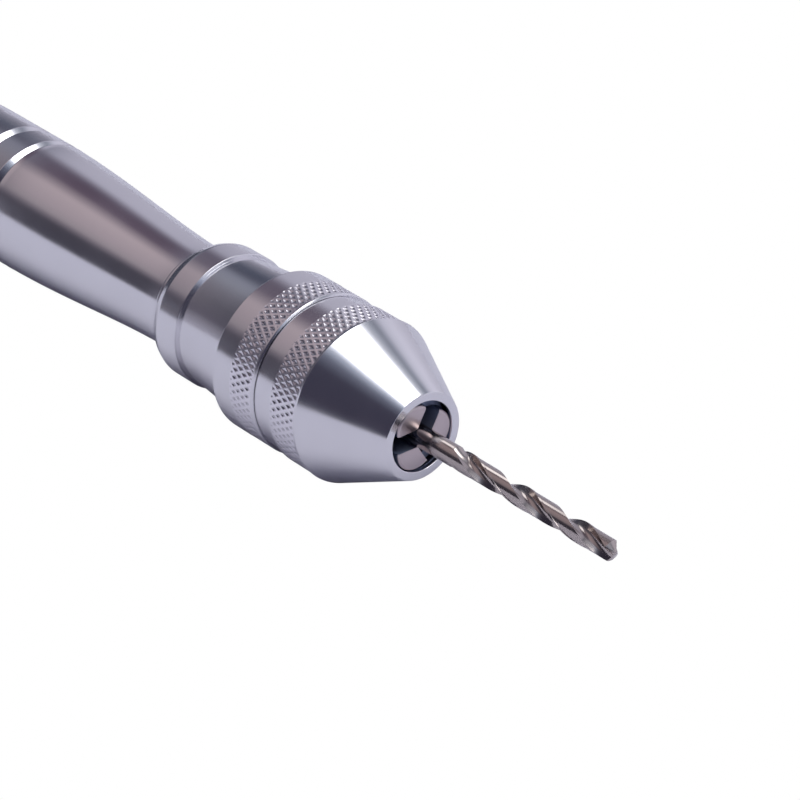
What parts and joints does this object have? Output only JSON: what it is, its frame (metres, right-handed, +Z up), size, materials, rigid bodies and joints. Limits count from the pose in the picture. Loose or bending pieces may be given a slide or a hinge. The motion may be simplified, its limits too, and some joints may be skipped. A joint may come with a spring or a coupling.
{
  "type": "hand drill",
  "caption": "Slim aluminium hand drill: tapered grip with a swivelling palm cap, a knurled keyless chuck and a twist drill held in its jaws.",
  "frame": {"origin": "centre of the palm cap's flat end face, on the tool's axis", "axes": "+X along the tool's axis to the drill's point, +Z up as the tool lies on its side"},
  "size_m": [0.1312, 0.02, 0.02],
  "materials": {
    "satin_aluminium": "bright turned and polished, clear anodised",
    "blackened_steel": "blackened, satin",
    "jaw_steel": "hardened, ground bright",
    "tool_steel": "ground high speed steel, warm grey brown",
    "bearing_steel": "polished",
    "brass": "pressed, satin"
  },
  "bodies": {
    "root": {"handle": "satin_aluminium", "rear_sleeve": "satin_aluminium", "chuck_body": "blackened_steel", "arbor_stud": "blackened_steel", "thrust_washer": "bearing_steel", "sleeve_snap_ring": "bearing_steel", "cap_screw": "blackened_steel", "bearing_inner_race": "bearing_steel"},
    "sleeve": {"front_sleeve": "satin_aluminium", "split_nut_half_1": "blackened_steel", "split_nut_half_2": "blackened_steel", "nut_retaining_ring": "bearing_steel"},
    "jaw_1": {"jaw_1": "jaw_steel"},
    "jaw_2": {"jaw_2": "jaw_steel"},
    "jaw_3": {"jaw_3": "jaw_steel"},
    "bit": {"twist_drill": "tool_steel"},
    "cap": {"palm_cap": "satin_aluminium", "bearing_outer_race": "bearing_steel", "cap_circlip": "bearing_steel", "cap_end_plug": "satin_aluminium"},
    "cage": {"ball_cage": "brass", "bearing_ball_1": "bearing_steel", "bearing_ball_2": "bearing_steel", "bearing_ball_3": "bearing_steel", "bearing_ball_4": "bearing_steel", "bearing_ball_5": "bearing_steel", "bearing_ball_6": "bearing_steel", "bearing_ball_7": "bearing_steel"}
  },
  "joints": [
    {"name": "sleeve_turn", "type": "hinge", "parent": "root", "child": "sleeve", "pos_m": [0.09, 0, 0], "axis": [1, 0, 0], "range_deg": [0, 777.6]},
    {"name": "jaw_1_slide", "type": "slide", "parent": "root", "child": "jaw_1", "axis": [-0.9781, 0.2079, 0.0036], "range_m": [0, 0.00217]},
    {"name": "jaw_2_slide", "type": "slide", "parent": "root", "child": "jaw_2", "axis": [-0.9781, -0.1071, 0.1782], "range_m": [0, 0.00217]},
    {"name": "jaw_3_slide", "type": "slide", "parent": "root", "child": "jaw_3", "axis": [-0.9781, -0.1008, -0.1818], "range_m": [0, 0.00217]},
    {"name": "bit_pull", "type": "slide", "parent": "root", "child": "bit", "axis": [1, 0, 0], "range_m": [0, 0.03]},
    {"name": "cap_spin", "type": "hinge", "parent": "root", "child": "cap", "pos_m": [0.0152, 0, 0], "axis": [1, 0, 0], "continuous": true},
    {"name": "cage_spin", "type": "hinge", "parent": "root", "child": "cage", "pos_m": [0.0152, 0, 0], "axis": [1, 0, 0], "continuous": true}
  ],
  "couplings": [
    {"joint": "jaw_1_slide", "follows": "sleeve_turn", "m_per_rad": 0.00015915},
    {"joint": "jaw_2_slide", "follows": "sleeve_turn", "m_per_rad": 0.00015915},
    {"joint": "jaw_3_slide", "follows": "sleeve_turn", "m_per_rad": 0.00015915},
    {"joint": "cage_spin", "follows": "cap_spin", "ratio": 0.5867}
  ]
}
